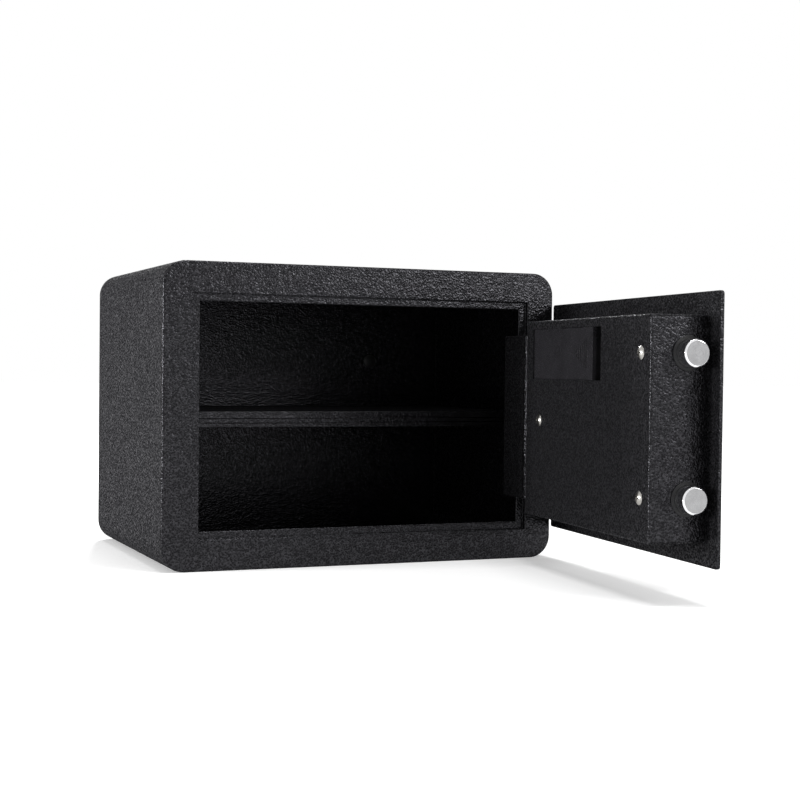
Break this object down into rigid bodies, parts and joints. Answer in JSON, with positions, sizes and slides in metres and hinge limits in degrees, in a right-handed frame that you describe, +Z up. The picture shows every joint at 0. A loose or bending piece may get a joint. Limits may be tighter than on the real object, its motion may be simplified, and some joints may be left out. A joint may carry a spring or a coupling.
{
  "type": "electronic safe",
  "caption": "Compact steel home safe with a right-hung door standing open, round keypad inside a turning ring, locking bolts and a lift-out shelf.",
  "frame": {"origin": "centre of the cabinet's underside, the face that it rests on", "axes": "+X to the right seen from the front, the front faces -Y, +Z up"},
  "size_m": [0.3657, 0.5443, 0.25],
  "materials": {
    "hammered_paint": "black hammered enamel",
    "zinc_steel": "bright zinc plate",
    "nickel": "nickel plate",
    "chrome_bolts": "satin chrome, turned end faces",
    "silver_ring": "satin silver plating",
    "black_plastic": "moulded, fine grain",
    "black_gloss": "gloss fascia",
    "key_rubber": "satin silicone",
    "display": "pale blue-white display",
    "window": "clear window",
    "board": "circuit board",
    "lights": "clear indicator lenses",
    "wire": "insulated wire",
    "cell_wrap": "plain cell wrap",
    "copper": "taped copper winding",
    "brass_plug": "machined brass",
    "ivory_plastic": "ivory moulding"
  },
  "bodies": {
    "cabinet": {"body_wrap": "hammered_paint", "front_frame": "hammered_paint", "back_panel": "hammered_paint", "shelf_supports": "hammered_paint", "hinge_brackets": "hammered_paint", "hinge_pin": "zinc_steel"},
    "shelf": {"shelf": "hammered_paint"},
    "door": {"door_plate": "hammered_paint", "door_cover": "hammered_paint", "hinge_arm": "hammered_paint", "cover_brackets": "zinc_steel", "cover_screws": "nickel", "bolt_bushes": "black_plastic", "guide_posts": "zinc_steel", "guide_screws": "zinc_steel", "keypad_base": "black_plastic", "keypad_face": "black_gloss", "display_panel": "display", "display_window": "window", "circuit_board": "board", "indicator_lights": "lights", "bridge_bracket": "zinc_steel", "stem_nut": "zinc_steel", "wire_harness": "wire", "battery_tray": "black_plastic", "batteries": "cell_wrap", "battery_contacts": "nickel", "solenoid_frame": "zinc_steel", "solenoid_coil": "copper", "plunger_spring": "zinc_steel", "lock_barrel": "nickel", "lock_nut": "zinc_steel"},
    "battery_cover": {"battery_cover": "black_plastic"},
    "knob": {"knob_ring": "silver_ring", "knob_drum": "black_plastic", "drive_cam": "zinc_steel"},
    "bolts": {"bolt_carrier": "zinc_steel", "locking_bolts": "chrome_bolts", "bolt_screws": "zinc_steel"},
    "plunger": {"solenoid_plunger": "zinc_steel"},
    "lock_plug": {"lock_plug": "brass_plug", "lock_cam": "zinc_steel"},
    "key_cover": {"key_cover": "ivory_plastic"},
    "key_1": {"key_1": "key_rubber"},
    "key_2": {"key_2": "key_rubber"},
    "key_3": {"key_3": "key_rubber"},
    "key_4": {"key_4": "key_rubber"},
    "key_5": {"key_5": "key_rubber"},
    "key_6": {"key_6": "key_rubber"},
    "key_7": {"key_7": "key_rubber"},
    "key_8": {"key_8": "key_rubber"},
    "key_9": {"key_9": "key_rubber"},
    "key_star": {"key_star": "key_rubber"},
    "key_0": {"key_0": "key_rubber"},
    "key_hash": {"key_hash": "key_rubber"}
  },
  "joints": [
    {"name": "door_hinge", "type": "hinge", "parent": "cabinet", "child": "door", "pos_m": [0.1635, -0.109, 0.125], "axis": [0, 0, 1], "range_deg": [-84.5, 10.5]},
    {"name": "shelf_lift", "type": "slide", "parent": "cabinet", "child": "shelf", "axis": [0, 0, 1], "range_m": [0, 0.04]},
    {"name": "knob_turn", "type": "hinge", "parent": "door", "child": "knob", "pos_m": [0.16126, -0.29916, 0.135], "axis": [-0.9954, 0.0958, 0], "range_deg": [0, 60]},
    {"name": "bolt_throw", "type": "slide", "parent": "door", "child": "bolts", "axis": [-0.0958, -0.9954, 0], "range_m": [0, 0.012]},
    {"name": "plunger_slide", "type": "slide", "parent": "door", "child": "plunger", "axis": [0, 0, -1], "range_m": [-0.006, 0], "stiffness_N_per_m": 60, "springref_m": -0.008, "deforming": ["plunger_spring"]},
    {"name": "lock_turn", "type": "hinge", "parent": "door", "child": "lock_plug", "pos_m": [0.17066, -0.20161, 0.099], "axis": [0.9954, -0.0958, 0], "range_deg": [0, 84]},
    {"name": "key_cover_pull", "type": "slide", "parent": "door", "child": "key_cover", "axis": [0.9954, -0.0958, 0], "range_m": [0, 0.015]},
    {"name": "battery_cover_tilt", "type": "hinge", "parent": "door", "child": "battery_cover", "pos_m": [0.12722, -0.18527, 0.1785], "axis": [0, 0, -1], "range_deg": [0, 70]},
    {"name": "key_1_press", "type": "slide", "parent": "door", "child": "key_1", "axis": [-0.9954, 0.0958, 0], "range_m": [0, 0.0008], "stiffness_N_per_m": 300},
    {"name": "key_2_press", "type": "slide", "parent": "door", "child": "key_2", "axis": [-0.9954, 0.0958, 0], "range_m": [0, 0.0008], "stiffness_N_per_m": 300},
    {"name": "key_3_press", "type": "slide", "parent": "door", "child": "key_3", "axis": [-0.9954, 0.0958, 0], "range_m": [0, 0.0008], "stiffness_N_per_m": 300},
    {"name": "key_4_press", "type": "slide", "parent": "door", "child": "key_4", "axis": [-0.9954, 0.0958, 0], "range_m": [0, 0.0008], "stiffness_N_per_m": 300},
    {"name": "key_5_press", "type": "slide", "parent": "door", "child": "key_5", "axis": [-0.9954, 0.0958, 0], "range_m": [0, 0.0008], "stiffness_N_per_m": 300},
    {"name": "key_6_press", "type": "slide", "parent": "door", "child": "key_6", "axis": [-0.9954, 0.0958, 0], "range_m": [0, 0.0008], "stiffness_N_per_m": 300},
    {"name": "key_7_press", "type": "slide", "parent": "door", "child": "key_7", "axis": [-0.9954, 0.0958, 0], "range_m": [0, 0.0008], "stiffness_N_per_m": 300},
    {"name": "key_8_press", "type": "slide", "parent": "door", "child": "key_8", "axis": [-0.9954, 0.0958, 0], "range_m": [0, 0.0008], "stiffness_N_per_m": 300},
    {"name": "key_9_press", "type": "slide", "parent": "door", "child": "key_9", "axis": [-0.9954, 0.0958, 0], "range_m": [0, 0.0008], "stiffness_N_per_m": 300},
    {"name": "key_star_press", "type": "slide", "parent": "door", "child": "key_star", "axis": [-0.9954, 0.0958, 0], "range_m": [0, 0.0008], "stiffness_N_per_m": 300},
    {"name": "key_0_press", "type": "slide", "parent": "door", "child": "key_0", "axis": [-0.9954, 0.0958, 0], "range_m": [0, 0.0008], "stiffness_N_per_m": 300},
    {"name": "key_hash_press", "type": "slide", "parent": "door", "child": "key_hash", "axis": [-0.9954, 0.0958, 0], "range_m": [0, 0.0008], "stiffness_N_per_m": 300}
  ],
  "couplings": [
    {"joint": "bolt_throw", "follows": "knob_turn", "m_per_rad": 0.011459}
  ]
}
